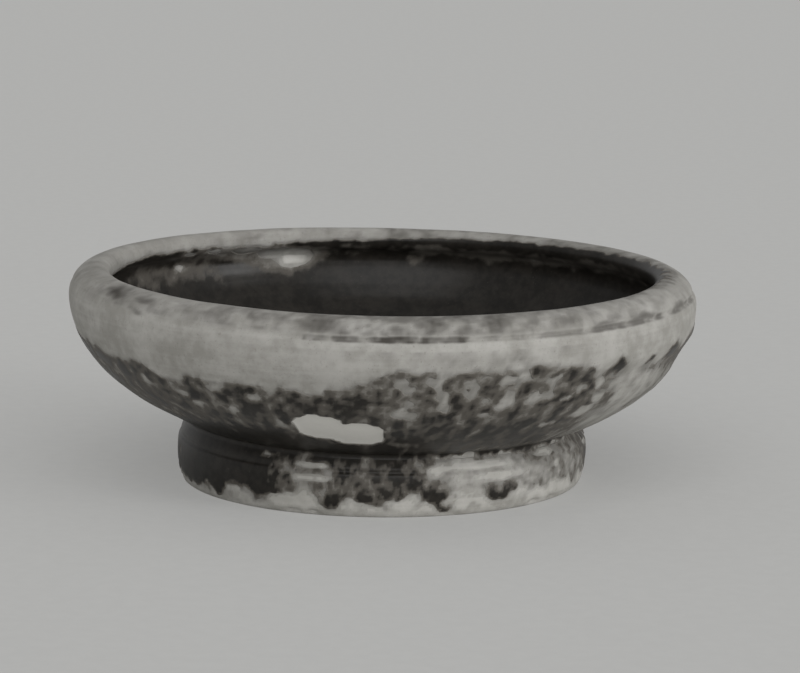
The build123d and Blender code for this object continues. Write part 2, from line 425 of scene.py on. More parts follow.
inner_normal = np.array((-inner_run[1], inner_run[0]))
inner_face_angle = direction((0, 0), inner_normal) % 360


def beside_inner_face(gap, height):
    """The point at a height and a gap off the foot's inner face."""
    start = inner_rest + gap * inner_normal
    return tuple(start + inner_run * (height - start[1]) / inner_run[1])


def touching_inner_face(gap, radius):
    """The point a gap off the foot's inner face and a radius off the belly's centre."""
    start = inner_rest + gap * inner_normal - np.array(belly)
    along = -(start @ inner_run) - math.sqrt((start @ inner_run) ** 2 - start @ start + radius**2)
    return tuple(np.array(belly) + start + inner_run * along)


inner_corner = touching_inner_face(LUTE_FILLET, BELLY_RADIUS + LUTE_FILLET)
inner_edge = beside_inner_face(-FOOT_EDGE_RADIUS, FOOT_EDGE_RADIUS)
inner_face_low = on_circle(inner_edge, FOOT_EDGE_RADIUS, inner_face_angle)
inner_face_top = touching_inner_face(0, bed_radius)

# Where the foot's bed and the joint start and end, as angles on the belly
bed_start, bed_end = direction(belly, inner_face_top), direction(belly, face_top)
joint_start, joint_end = direction(belly, inner_corner), direction(belly, outer_corner)


# Paths along the surfaces, each with the clay on its left


def inside_path(steps):
    """Down the inside from the crest to the middle of the floor, with a step for each stretch."""
    lip_step, blend_step, shoulder_step, belly_step, floor_step = steps
    return joined(
        arc(inner_lip, LIP_INNER_RADIUS, 90, lip_end_angle, lip_step),
        arc(blend, LIP_BLEND_RADIUS, lip_end_angle - 180, blend_angle, blend_step),
        arc(shoulder, inner_shoulder_radius, blend_angle, -SHOULDER_SWEEP, shoulder_step),
        arc(belly, inner_belly_radius, -SHOULDER_SWEEP, -90, belly_step),
        line((belly[0], floor_height), (0, floor_height), floor_step),
    )


def bowl_path():
    """Round the bowl's clay, from its base over the lip to its floor, closely spaced at its groove."""
    reach = math.degrees(GROOVE_REACH * RIM_GROOVE[1] / LIP_RADIUS)
    below, above = RIM_GROOVE_ANGLE - reach, RIM_GROOVE_ANGLE + reach
    return joined(
        line((0, BASE), (belly[0], BASE), step=2.4),
        arc(belly, BELLY_RADIUS, -90, -SHOULDER_SWEEP, step=1.0),
        arc(shoulder, SHOULDER_RADIUS, -SHOULDER_SWEEP, 0, step=0.9),
        arc(lip, LIP_RADIUS, 0, below, step=0.4),
        arc(lip, LIP_RADIUS, below, above, step=0.16),
        arc(lip, LIP_RADIUS, above, 90, step=0.5),
        inside_path(steps=(0.45, 0.5, 0.9, 1.0, 2.0)),
    )


def foot_face(step):
    """Up the foot's outer face, closely spaced at its groove."""
    rise = FOOT_HEIGHT - FOOT_GROOVE_DROP - half_foot
    middle = math.degrees(math.asin(rise / face_radius))
    reach = math.degrees(GROOVE_REACH * FOOT_GROOVE[1] / face_radius)
    return joined(
        arc(face, face_radius, direction(face, outer_edge), middle - reach, step),
        arc(face, face_radius, middle - reach, middle + reach, step=0.2),
        arc(face, face_radius, middle + reach, direction(face, outer_corner), step),
    )


def foot_path():
    """Once round the ring foot's clay, from the top of its inner face."""
    return joined(
        line(inner_face_top, inner_face_low, step=0.9),
        arc(inner_edge, FOOT_EDGE_RADIUS, inner_face_angle, 270, step=0.3),
        line((inner_edge[0], 0), (outer_edge[0], 0), step=0.6),
        arc(outer_edge, FOOT_EDGE_RADIUS, -90, direction(face, outer_edge), step=0.25),
        foot_face(step=0.5),
        arc(face, face_radius, direction(face, outer_corner), direction(face, face_top), step=0.3),
        arc(belly, bed_radius, bed_end, bed_start, step=0.9),
        looped=True,
    )


def outer_corner_path():
    """Up the joint's outer corner, to the belly."""
    to_face = direction(outer_corner, face) % 360
    to_belly = direction(outer_corner, belly) % 360
    return arc(outer_corner, LUTE_FILLET, to_face, to_belly, step=0.25)


def inner_corner_path():
    """Down the joint's inner corner, from the base."""
    to_belly = direction(inner_corner, belly)
    return arc(inner_corner, LUTE_FILLET, to_belly, inner_face_angle - 180, step=0.3)


def lute_path():
    """Once round the lute, from the top of its inner corner."""
    return joined(
        inner_corner_path(),
        arc(belly, bed_radius, bed_start, bed_end, step=0.9),
        outer_corner_path(),
        arc(belly, BELLY_RADIUS, joint_end, joint_start, step=0.9),
        looped=True,
    )


def outer_slip_path():
    """Up the outside from the foot's lower edge to just under the widest circle."""
    return joined(
        foot_face(step=0.5),
        outer_corner_path(),
        arc(belly, BELLY_RADIUS, joint_end, -SHOULDER_SWEEP, step=0.55),
        arc(shoulder, SHOULDER_RADIUS, -SHOULDER_SWEEP, OUTER_SLIP_END, step=0.55),
    )


def inner_slip_path():
    """From the lip's outer side over the crest and down the inside."""
    return joined(
        arc(lip, LIP_RADIUS, INNER_SLIP_START, 90, step=0.4),
        inside_path(steps=(0.35, 0.5, 0.75, 0.9, 1.2)),
    )


def under_slip_path():
    """Along the base, the joint's inner corner and the foot's inner face."""
    return joined(
        line((0, BASE), (belly[0], BASE), step=1.4),
        arc(belly, BELLY_RADIUS, -90, joint_start, step=0.9),
        inner_corner_path(),
        line(beside_inner_face(0, inner_corner_path()[-1][1]), inner_face_low, step=0.6),
    )


# Hand-made surfaces


def smooth(value, low, high):
    """0 below low, 1 above high and an even rise between."""
    share = np.clip((value - low) / (high - low), 0, 1)
    return share * share * (3 - 2 * share)


def turn_between(azimuth, other):
    """The signed angle from one azimuth to another, in degrees."""
    return (azimuth - other + 180) % 360 - 180


def shifted(azimuth, radius, shift):
    """An azimuth moved round the axis by a length."""
    return azimuth + np.degrees(shift / np.maximum(radius, 1))


def grain(points, size, shift):
    """Smooth noise from -1 to 1, with lumps of about a size."""
    places = np.asarray(points).reshape(-1, 3) / size + shift
    values = [noise.noise(Vector(place)) for place in places.tolist()]
    return np.array(values).reshape(np.shape(points)[:-1])


def layered(points, layers):
    """A level with layers of noise added to it."""
    level, *rest = layers
    return sum((strength * grain(points, size, shift) for strength, size, shift in rest), level)


def grid_of(path, columns):
    """Azimuth, height and radius of a turned surface's points, in rows along its path."""
    azimuth, radius = np.meshgrid(np.linspace(-180, 180, columns, endpoint=False), path[:, 0])
    height = np.broadcast_to(path[:, 1:2], azimuth.shape)
    return azimuth, height, radius


def turned_points(azimuth, height, radius):
    """The points at these azimuths, heights and radii."""
    turn = np.radians(azimuth)
    return np.stack((radius * np.sin(turn), -radius * np.cos(turn), height), axis=-1)


def normals_of(path, looped=False):
    """Unit normals of a path, away from the clay on its left."""
    if looped:
        run = np.roll(path, -1, axis=0) - np.roll(path, 1, axis=0)
    else:
        run = np.gradient(path, axis=0)
    normals = np.column_stack((run[:, 1], -run[:, 0]))
    return normals / np.linalg.norm(normals, axis=1)[:, None]


def lute_normals(path):
    """Unit normals at the lute's smoothed corners and the foot's top edges, and none elsewhere."""
    normals = np.zeros(path.shape)
    for corner in (outer_corner, inner_corner):
        away = np.array(corner) - path
        on_corner = np.abs(np.linalg.norm(away, axis=1) - LUTE_FILLET) < TINY
        normals[on_corner] = away[on_corner] / LUTE_FILLET
    outward = (np.array(face_top) - np.array(face)) / face_radius
    for edge, normal in ((face_top, outward), (inner_face_top, inner_normal)):
        normals[np.linalg.norm(path - np.array(edge), axis=1) < TINY] = normal
    return normals


def mark(azimuth, height, radius, place, full=0.3, gone=1.4):
    """1 inside an oval mark on the surface, fading to 0 outside it."""
    across = np.radians(turn_between(azimuth, place[0])) * radius / place[2]
    along = (height - place[1]) / place[3]
    return 1 - smooth(np.hypot(across, along), full, gone)


def along_edge(azimuth, places):
    """A value at an azimuth or height, read between the places given."""
    where, value = zip(*places)
    return np.interp(azimuth, where, value)


def spall(azimuth, height, radius):
    """1 inside the long spall low on the wall."""
    ragged = layered(turned_points(azimuth, height, radius), SPALL_RAGGED)
    power = SPALL_SQUARENESS
    inside = np.zeros(azimuth.shape)
    for lobe in SPALL:
        across = np.abs(np.radians(turn_between(azimuth, lobe[0])) * radius / lobe[2])
        along = np.abs((height - lobe[1]) / lobe[3])
        reach = (across**power + along**power) ** (1 / power) + ragged
        inside = np.maximum(inside, 1 - smooth(reach, *SPALL_EDGE))
    return inside


def lip_groove(azimuth, height, radius):
    """The depth of the lip's groove, which is worn shallow on one side."""
    off = (height - groove_height) / math.cos(math.radians(RIM_GROOVE_ANGLE))
    outside = radius > lip[0] + 0.5 * LIP_RADIUS
    depth = RIM_GROOVE[0] * np.exp(-((off / RIM_GROOVE[1]) ** 2)) * outside
    return depth * along_edge(azimuth, GROOVE_WEAR)


def foot_groove(height, radius):
    """The depth of the groove in the foot's outer face."""
    off = height - (FOOT_HEIGHT - FOOT_GROOVE_DROP)
    on_face = np.abs(radius - FOOT_RADIUS) < FOOT_FACE_DEPTH
    return FOOT_GROOVE[0] * np.exp(-((off / FOOT_GROOVE[1]) ** 2)) * on_face


def relief_of(azimuth, height, radius, inside):
    """Unevenness of the clay along its normal: lumps, throwing rings, grooves, the spall and chips."""
    relief = layered(turned_points(azimuth, height, radius), LUMPS) - LUMP_MARGIN
    if inside:
        depth, spacing = THROWING_RINGS
        spiral = height / spacing + azimuth / 360
        above_floor = smooth(height - floor_height, *RINGS_START)
        above_wall = smooth(height - shoulder[1], *RINGS_END)
        return relief + depth * np.sin(2 * np.pi * spiral) * (above_floor * (1 - above_wall))
    outward = smooth(radius, FOOT_RADIUS - FOOT_FACE_DEPTH, FOOT_RADIUS - FOOT_FACE_DEPTH + 1)
    relief -= SPALL_DEPTH * spall(azimuth, height, radius)
    relief -= lip_groove(azimuth, height, radius)
    relief -= foot_groove(height, radius)
    for place, half_width, depth in FOOT_CHIPS:
        across = np.radians(turn_between(azimuth, place)) * FOOT_RADIUS / half_width
        low = 1 - smooth(height + CHIP_SLOPE * np.abs(across), *CHIP_HEIGHTS)
        relief -= depth * low * (1 - smooth(np.abs(across), *CHIP_SIDES)) * outward
    return relief * smooth(height, 0.0, FOOT_REST_HEIGHT)


def by_hand(points):
    """Points of the true turned form, moved as the potter's hand left them."""
    x, y, z = np.moveaxis(points, -1, 0)
    radius = np.maximum(np.hypot(x, y), TINY)
    left, right = (1 - x / radius) / 2, (1 + x / radius) / 2
    out = np.hypot(radius - belly[0], z - belly[1]) - BELLY_RADIUS + WALL
    outside = smooth(out, 0.5 * WALL, 0.9 * WALL)
    flat = along_edge(z, FLAT_LEFT) * left + along_edge(z, FLAT_RIGHT) * right * outside
    flat = flat * smooth(radius, *FLAT_RADII)
    oval = OVAL * smooth(z, FOOT_HEIGHT, CREST) * (y / radius) ** 2
    scale = 1 - flat / radius - oval
    drop = ASKEW * (1 + x / WIDEST) / 2 * smooth(z, *ASKEW_HEIGHTS)
    dip = SADDLE * (y / radius) ** 2 * smooth(z, *SADDLE_HEIGHTS) * smooth(radius, *SADDLE_RADII)
    return np.stack((x * scale, y * scale, z - (drop + dip)), axis=-1)


def placed(path, relief, flat):
    """The surface's points, with relief along its normals, and those normals."""
    azimuth, height, radius = grid_of(path, relief.shape[1])
    points = turned_points(azimuth, height, radius)
    normals = turned_points(azimuth, np.broadcast_to(flat[:, 1:], azimuth.shape), flat[:, :1])
    return by_hand(points + relief[..., None] * normals), normals


# How much slip is left


def scattered(rng, count, azimuths, heights, sizes):
    """Flecks strewn over the sides that the photograph doesn't show."""
    flecks = []
    for _ in range(count):
        across = rng.uniform(*sizes)
        azimuth, height = rng.uniform(*azimuths), rng.uniform(*heights)
        flecks.append((azimuth, height, across, across * rng.uniform(*SCATTER_HEIGHTS)))
    return flecks


rng = np.random.default_rng(SEED)
outer_flecks = (*OUTER_FLECKS, *scattered(rng, **OUTER_SCATTER))
inner_flecks_and_highlight = (*INNER_FLECKS_AND_HIGHLIGHT, *scattered(rng, **INNER_SCATTER))


def taken_at(distance, end):
    """What an edge takes away, fading to nothing inside it."""
    taken, low, high = end
    return taken * (1 - smooth(distance, low, high))


def outer_slip_left(azimuth, height, radius):
    """How much slip is left outside. Above 0 there is some."""
    points = turned_points(azimuth, height, UNROLLED_RADIUS)
    turn = shifted(azimuth, radius, layered(points, OUTER_ACROSS))
    rise = height + layered(points, OUTER_ALONG)
    below = along_edge(azimuth, OUTER_EDGE) + layered(points, OUTER_WAVE) - rise
    left = layered(points, OUTER_MOTTLE)
    left += layered(points, OUTER_DRIFT) * smooth(np.abs(azimuth), *DRIFT_AZIMUTHS)
    for *place, change in OUTER_COVER:
        left += change * mark(turn, rise, radius, place)
    for fleck in outer_flecks:
        left -= OUTER_FLECK_DEPTH * mark(turn, rise, radius, fleck, full=0.1, gone=1.6)
    rub_rise = RUB_SHIFT * rise + (1 - RUB_SHIFT) * height
    for rub in FOOT_RUBS:
        left -= RUB_DEPTH * mark(turn, rub_rise, radius, rub, full=0.5, gone=1.3)
    left -= taken_at(rise - layered(points, FOOT_WEAR), FOOT_END)
    left = np.minimum(left, SLIP_MOST) - taken_at(below, OUTER_END)
    return left - SPALL_STRENGTH * spall(azimuth, height, radius)


def inner_slip_left(azimuth, height, radius):
    """How much slip is left inside, thinned in places to paint a highlight on the far left wall and
    light on the inner left wall.
    """
    points = turned_points(azimuth, height, radius)
    warp = layered(points, INNER_SHIFT)
    over = (radius > lip[0]) & (height > inner_lip[1])
    beyond = np.where(over, 2 * CREST - height, height)
    below = along_edge(azimuth, INNER_EDGE) + EDGE_SHIFT * warp - beyond
    patchy = layered(points, INNER_MOTTLE)
    left = INNER_EVEN + patchy
    turn = shifted(azimuth, radius, warp)
    for *place, change in INNER_THIN_AND_PAINTED_LIGHT:
        left -= change * mark(turn, height + THIN_SHIFT * warp, radius, place, full=0.0, gone=1.7)
    left = np.maximum(left, INNER_LEAST[0] + INNER_LEAST[1] * patchy)
    for fleck in inner_flecks_and_highlight:
        bare = mark(turn, height + FLECK_SHIFT * warp, radius, fleck, full=0.1, gone=1.5)
        left -= INNER_FLECK_DEPTH * bare
    return left - taken_at(below, INNER_END)


def under_slip_left(azimuth, height, radius):
    """How much slip is left under the base and inside the foot."""
    left = layered(turned_points(azimuth, height, radius), UNDER_MOTTLE)
    return left - taken_at(height, UNDER_END)


def halo(level, strength, low, high):
    """A stain that comes in with the level of slip."""
    return strength * smooth(level, low, high)


def stain_left(azimuth, height, radius, inside):
    """Slip left as a stain on the bare clay: a halo round the slip, a film and marks on the lip, the
    film partly painted shade; below 0, paler clay, fresh in the spall and a painted highlight inside.
    """
    points = turned_points(azimuth, height, radius)
    on_lip = height > shoulder[1]
    on_wall = ~on_lip & ~inside
    stain = halo(outer_slip_left(azimuth, height, radius), *OUTER_HALO) * on_wall
    patchy = np.clip(layered(points, FILM_MOTTLE), 0, FILM_MOST)
    # The lip's film is partly a slip film, partly painted shade on its upward-facing top
    film_and_shade = along_edge(azimuth, LIP_FILM_AND_SHADE) * smooth(height - groove_height, *FILM_RISE)
    film_and_shade = np.maximum(film_and_shade, along_edge(azimuth, WALL_FILM) * on_wall)
    stain = np.maximum(stain, film_and_shade * patchy)
    turn = shifted(azimuth, radius, layered(points, STAIN_ACROSS))
    shift = layered(points, STAIN_ALONG)
    rise = height + shift
    for *place, strength in LIP_STAINS:
        spot = mark(turn, rise, radius, place, full=0.0, gone=1.5)
        stain = np.maximum(stain, strength * on_lip * spot)
    in_groove = 1 - smooth(np.abs(height + DASH_SHIFT * shift - groove_height), *DASH_SIDES)
    in_groove = in_groove * (radius > lip[0]) * np.clip(patchy, 0, 1)
    strength, *levels = LIP_HALO
    near = smooth(inner_slip_left(azimuth, height, radius), *levels)
    stain = np.maximum(stain, strength * near * on_lip * (radius < lip[0] + LIP_HALO_REACH))
    stain = np.maximum(stain, halo(near, *INNER_HALO) * inside)
    for start, end, strength in GROOVE_STAINS:
        middle, half = (start + end) / 2, (end - start) / 2
        dash = 1 - smooth(np.abs(turn_between(turn, middle)), half - DASH_ENDS, half + DASH_ENDS)
        stain = np.maximum(stain, strength * dash * in_groove)
    # Below 0 the clay turns paler: a painted highlight inside, and fresh clay in the spall outside
    inner_painted_highlight = INNER_HIGHLIGHT_STRENGTH * mark(turn, rise, radius, INNER_PAINTED_HIGHLIGHT, full=0.0, gone=1.5)
    outer_fresh = SPALL_STRENGTH * spall(azimuth, height, radius)
    return np.clip(stain, 0, 1) - np.where(inside, inner_painted_highlight, outer_fresh)


# Meshes


def in_scene(name, data):
    """An object of the scene with a mesh, light or camera."""
    made = bpy.data.objects.new(name, data)
    bpy.context.scene.collection.objects.link(made)
    return made


def new_piece(name, vertices, faces, uvs, values, value_name, material):
    """A smooth-shaded mesh piece in metres with a bake map and one value at each vertex."""
    mesh = bpy.data.meshes.new(name)
    mesh.from_pydata((np.asarray(vertices) * MM).tolist(), [], faces)
    layer = mesh.uv_layers.new(name="OFBake")
    layer.uv.foreach_set("vector", np.asarray(uvs, np.float32).ravel())
    attribute = mesh.attributes.new(value_name, "FLOAT", "POINT")
    attribute.data.foreach_set("value", np.asarray(values, np.float32))
    mesh.polygons.foreach_set("use_smooth", np.ones(len(mesh.polygons), bool))
    mesh.materials.append(material)
    mesh.update()
    return in_scene(name, mesh)


def path_shares(path, looped=False):
    """How far along the path each point lies, from 0 to 1."""
    closed = np.vstack((path, path[:1])) if looped else path
    run = np.concatenate(([0], np.cumsum(np.linalg.norm(np.diff(closed, axis=0), axis=1))))
    return run / run[-1]


def cell(row, column):
    """The grid points at a cell's four corners, in turn."""
    return ((row, column), (row, column + 1), (row + 1, column + 1), (row + 1, column))


def turned_piece(name, path, normals, relief, stain, material, looped=False):
    """A turned clay piece, whose path goes once round the clay or runs from the axis to the axis."""
    points, _ = placed(path, relief, normals)
    rows, columns = relief.shape
    share = path_shares(path, looped)
    numbers = np.arange(rows * columns).reshape(rows, columns)
    if not looped:
        numbers[0] = numbers[0, 0]
        numbers[-1] = numbers[-1, 0]
    faces, uvs = [], []
    for row in range(rows if looped else rows - 1):
        for column in range(columns):
            places = list(cell(row, column))
            corners = [numbers[r % rows, c % columns] for r, c in places]
            if corners[0] == corners[1]:
                del places[0], corners[0]
            elif corners[2] == corners[3]:
                del places[3], corners[3]
            faces.append(corners)
            uvs.extend((c / columns, share[r]) for r, c in places)
    used = np.unique(np.concatenate(faces))
    faces = [np.searchsorted(used, face).tolist() for face in faces]
    vertices, stains = points.reshape(-1, 3)[used], stain.ravel()[used]
    return new_piece(name, vertices, faces, uvs, stains, "stain", material)


class Patch:
    """The part of a turned surface where a value is above 0, cut out cell by cell along its edge."""

    def __init__(self, values, pole):
        self.values = values
        self.rows, self.columns = values.shape
        self.pole = pole
        self.known = {}
        self.ends = []
        self.faces = []
        self.rims = []
        inside = values > 0
        for row in range(self.rows - 1):
            for column in range(self.columns):
                self.cut_cell(inside, row, column)

    def key(self, place):
        """A grid point, with every point of the row on the axis taken as one."""
        row, column = place
        return (row, 0 if row == self.pole else column % self.columns)

    def vertex(self, first, second):
        """The vertex at a grid point, or where the value is 0 between two of them."""
        low, high = sorted((self.key(first), self.key(second)))
        if (low, high) not in self.known:
            a, b = self.values[low], self.values[high]
            share = 0.0 if low == high else float(a / (a - b))
            self.known[low, high] = len(self.ends)
            self.ends.append((low[0], low[1], high[0], high[1], share))
        return self.known[low, high]

    def cut_cell(self, inside, row, column):
        """Adds a cell's inner part to faces and its cut edges to rims, each with its column."""
        places = cell(row, column)
        flags = [inside[self.key(place)] for place in places]
        polygon, leaving = [], []
        for index, place in enumerate(places):
            after = (index + 1) % 4
            if flags[index]:
                polygon.append(self.vertex(place, place))
            if flags[index] != flags[after]:
                polygon.append(self.vertex(place, places[after]))
                if flags[index]:
                    leaving.append(len(polygon) - 1)
        for number in leaving:
            self.rims.append((polygon[number], polygon[(number + 1) % len(polygon)], column))
        corners = [vertex for number, vertex in enumerate(polygon) if vertex != polygon[number - 1]]
        if len(corners) > 2:
            self.faces.append((corners, column))


def slip_piece(name, path, columns, left, inside):
    """A thin closed shell of slip on the clay, with holes where it has flaked away."""
    grid = grid_of(path, columns)
    values = left(*grid)
    ends = (0, len(path) - 1)
    pole = next((end for end in ends if path[end, 0] < TINY), None)
    for end in ends:
        values[end] = values[end, 0] if end == pole else np.minimum(values[end], BARE_LEVEL)
    relief = relief_of(*grid, inside)
    base, normals = placed(path, relief, normals_of(path))
    patch = Patch(values, pole)
    low_row, low_column, high_row, high_column, share = (np.array(part) for part in zip(*patch.ends))

    def between(grid):
        weight = share.reshape(-1, *[1] * (grid.ndim - 2))
        return grid[low_row, low_column] * (1 - weight) + grid[high_row, high_column] * weight

    level = np.clip(between(values), 0, None)
    thickness = SLIP_EDGE + (SLIP_FULL - SLIP_EDGE) * smooth(level, 0, THICK_LEVEL)
    bed, normal = between(base), between(normals)
    count = len(bed)
    vertices = np.vstack((bed + normal * thickness[:, None], bed - normal * SLIP_BED))
    faces = [face for face, _ in patch.faces]
    faces += [[number + count for number in reversed(face)] for face, _ in patch.faces]
    faces += [[b, a, a + count, b + count] for a, b, _ in patch.rims]
    run = path_shares(path)
    along = run[low_row] * (1 - share) + run[high_row] * share
    step = (high_column - low_column + columns // 2) % columns - columns // 2
    around = (low_column + step * share) % columns
    around[low_row == pole] = np.nan
    at_pole = high_row == pole
    around[at_pole] = np.where(share[at_pole] < 1, low_column[at_pole], np.nan)
    uvs = slip_map(patch, around, along)
    thick = np.tile(smooth(level, 0, WHOLE_LEVEL), 2)
    piece = new_piece(name, vertices, faces, uvs, thick, "thick", slip)
    piece.data.polygons.foreach_set("use_smooth", np.arange(len(faces)) < 2 * len(patch.faces))
    return piece


def slip_map(patch, around, along):
    """The shell's bake map, with its outside unrolled and its bed in a strip above that."""

    def spot(number, column):
        turn = around[number]
        if np.isnan(turn):
            turn = column + 0.5
        elif column == patch.columns - 1 and turn < 1:
            turn += patch.columns
        return turn / patch.columns, along[number]

    def on_map(v):
        return OUTSIDE_BAND[0] + OUTSIDE_BAND[1] * v

    outside, bed, rims = [], [], []
    for face, column in patch.faces:
        spots = [spot(number, column) for number in face]
        outside += [(u, on_map(v)) for u, v in spots]
        bed += [(u, BED_BAND[0] + BED_BAND[1] * v) for u, v in reversed(spots)]
    for a, b, column in patch.rims:
        (ua, va), (ub, vb) = spot(a, column), spot(b, column)
        va, vb = on_map(va), on_map(vb)
        out_u, out_v = (vb - va) * RIM_SHARE, (ua - ub) * RIM_SHARE
        rims += [(ub, vb), (ua, va), (ua + out_u, va + out_v), (ub + out_u, vb + out_v)]
    return np.clip(outside + bed + rims, 0, 1)


# Materials


def linear(*srgb):
    """A linear colour from sRGB numbers up to 255."""
    shares = [number / 255 for number in srgb]
    return (*(s / 12.92 if s <= 0.04045 else ((s + 0.055) / 1.055) ** 2.4 for s in shares), 1.0)


class Shader:
    """A short way to build a material's nodes."""

    def __init__(self, name):
        self.material = bpy.data.materials.new(name)
        self.material.use_nodes = True
        self.tree = self.material.node_tree
        self.surface = self.tree.nodes["Principled BSDF"]
        self.place = self.node("ShaderNodeTexCoord").outputs["Object"]

    def node(self, kind, inputs=None, **settings):
        """A node with its settings made and its sockets set or linked."""
        made = self.tree.nodes.new(kind)
        for key, value in settings.items():
            setattr(made, key, value)
        for key, value in (inputs or {}).items():
            self.put(made.inputs[key], value)
        return made

    def put(self, socket, value):
        """Links or sets a socket."""
        if isinstance(value, bpy.types.NodeSocket):
            self.tree.links.new(value, socket)
        else:
            socket.default_value = value

    def noise(self, size, detail=3.0, stretch=None):
        """Noise with lumps of about a size in millimetres, drawn out round the bowl where asked."""
        place = self.place
        if stretch:
            place = self.node("ShaderNodeMapping", {"Vector": place, "Scale": stretch}).outputs[0]
        inputs = {"Vector": place, "Scale": 1 / (size * MM), "Detail": detail, "Roughness": 0.55}
        return self.node("ShaderNodeTexNoise", inputs).outputs["Fac"]

    def attribute(self, name):
        """A value stored at the mesh's vertices."""
        return self.node("ShaderNodeAttribute", attribute_name=name).outputs["Fac"]

    def math(self, operation, *values, clamp=False):
        """Arithmetic on values."""
        inputs = dict(enumerate(values))
        return self.node("ShaderNodeMath", inputs, operation=operation, use_clamp=clamp).outputs[0]

    def blend(self, *shares):
        """A weighted sum of values, given as value and weight in turn."""
        total = self.math("MULTIPLY", shares[0], shares[1])
        for value, weight in zip(shares[2::2], shares[3::2]):
            total = self.math("MULTIPLY_ADD", value, weight, total)
        return total

    def ranged(self, value, from_low, from_high, to_low=0.0, to_high=1.0):
        """A value carried smoothly from one range to another."""
        inputs = {"Value": value, "From Min": from_low, "From Max": from_high}
        inputs |= {"To Min": to_low, "To Max": to_high}
        return self.node("ShaderNodeMapRange", inputs, interpolation_type="SMOOTHSTEP").outputs[0]

    def mix(self, share, first, second):
        """One colour fading to another."""
        made = self.node("ShaderNodeMix", data_type="RGBA")
        for number, value in ((0, share), (6, first), (7, second)):
            self.put(made.inputs[number], value)
        return made.outputs[2]

    def bump(self, height, strength, distance):
        """A bumped normal, with its depth in millimetres."""
        inputs = {"Height": height, "Strength": strength, "Distance": distance * MM}
        return self.node("ShaderNodeBump", inputs).outputs[0]

    def finish(self, **sockets):
        """Sets the surface's own sockets."""
        for key, value in sockets.items():
            self.put(self.surface.inputs[key.replace("_", " ")], value)
        return self.material


CLAY_PALE = linear(177, 175, 170)
CLAY_DEEP = linear(150, 148, 142)
CLAY_GRAIN = linear(122, 118, 111)
# Pale clay for the fresh spall and worn foot, also painted light on the foot's edge and a painted
# highlight inside
CLAY_FRESH_AND_LIT = linear(216, 214, 208)
STAIN = linear(62, 58, 53)
SLIP_DARK = linear(27, 25, 22)
SLIP_WARM = linear(44, 41, 37)
SLIP_WORN = linear(88, 84, 78)
SLIP_THIN = linear(126, 123, 117)
FLOOR_DEEP = linear(213, 213, 211)
FLOOR_PALE = linear(215, 215, 213)


def clay_material(name, shade):
    """Fine pale fired clay: cloudy, faintly streaked by turning, dark-grained and stained by slip, and
    paler where fresh or where light and a highlight are painted.
    """
    s = Shader(name)
    cloud = s.noise(size=9.0, detail=4.0)
    mottle = s.noise(size=2.2, detail=5.0)
    fine = s.noise(size=0.45, detail=2.0)
    streak = s.noise(size=1.0, stretch=(0.03, 0.03, 1.1))
    tone = s.blend(cloud, 0.45, mottle, 0.4, streak, 0.15)
    colour = s.mix(s.ranged(tone, 0.36, 0.64), CLAY_DEEP, CLAY_PALE)
    colour = s.mix(s.ranged(fine, 0.58, 0.78, 0.0, 0.4), colour, CLAY_GRAIN)
    stain = s.attribute("stain")
    # Below 0 the clay turns paler: fresh clay, painted light on the foot's lower edge and a painted
    # highlight inside
    colour = s.mix(s.ranged(stain, -0.2, -0.8), colour, CLAY_FRESH_AND_LIT)
    stain = s.math("MAXIMUM", stain, 0.0)
    ragged = s.math("MULTIPLY_ADD", s.math("SUBTRACT", mottle, 0.5), 0.9, stain)
    stain = s.math("MULTIPLY", stain, s.ranged(ragged, 0.0, 0.5, 0.35, 1.0))
    colour = s.mix(s.math("ADD", stain, shade, clamp=True), colour, STAIN)
    return s.finish(
        Base_Color=colour,
        Roughness=s.ranged(mottle, 0.3, 0.7, 0.65, 0.88),
        Specular_IOR_Level=0.3,
        Normal=s.bump(s.blend(fine, 0.4, streak, 0.4, mottle, 0.8), strength=0.5, distance=0.10),
    )


def slip_material():
    """Dark gloss slip, thinner and duller at worn edges, with pinholes and faint turning streaks."""
    s = Shader("gloss_slip")
    cloud = s.noise(size=6.0)
    mottle = s.noise(size=1.4, detail=5.0)
    fine = s.noise(size=0.4, detail=2.0)
    streak = s.noise(size=0.8, stretch=(0.03, 0.03, 1.0))
    thick = s.attribute("thick")
    tone = s.blend(cloud, 0.5, mottle, 0.5)
    colour = s.mix(s.ranged(tone, 0.36, 0.64), SLIP_DARK, SLIP_WARM)
    whole = s.blend(thick, 1.0, mottle, 0.5, fine, 0.25)
    colour = s.mix(s.ranged(whole, 0.72, 1.30), SLIP_WORN, colour)
    colour = s.mix(s.ranged(whole, 0.28, 0.72), SLIP_THIN, colour)
    colour = s.mix(s.ranged(fine, 0.66, 0.80, 0.0, 0.35), colour, SLIP_WORN)
    return s.finish(
        Base_Color=colour,
        Roughness=s.ranged(whole, 0.5, 1.3, 0.62, 0.34),
        Specular_IOR_Level=0.25,
        Normal=s.bump(s.blend(mottle, 0.7, streak, 0.4, fine, 0.25), strength=0.35, distance=0.07),
    )


clay = clay_material("pale_clay", shade=0.0)
lute_clay = clay_material("lute_clay", shade=0.06)
slip = slip_material()


# Pieces of the bowl


def clay_bowl():
    """The thrown bowl."""
    path = bowl_path()
    grid = grid_of(path, BOWL_COLUMNS)
    within = (np.arange(len(path)) > np.argmax(path[:, 1]))[:, None]
    relief = np.where(within, relief_of(*grid, inside=True), relief_of(*grid, inside=False))
    stain = stain_left(*grid, within)
    normals = normals_of(path)
    return turned_piece("bowl_body_clay", path, normals, relief, stain, clay)


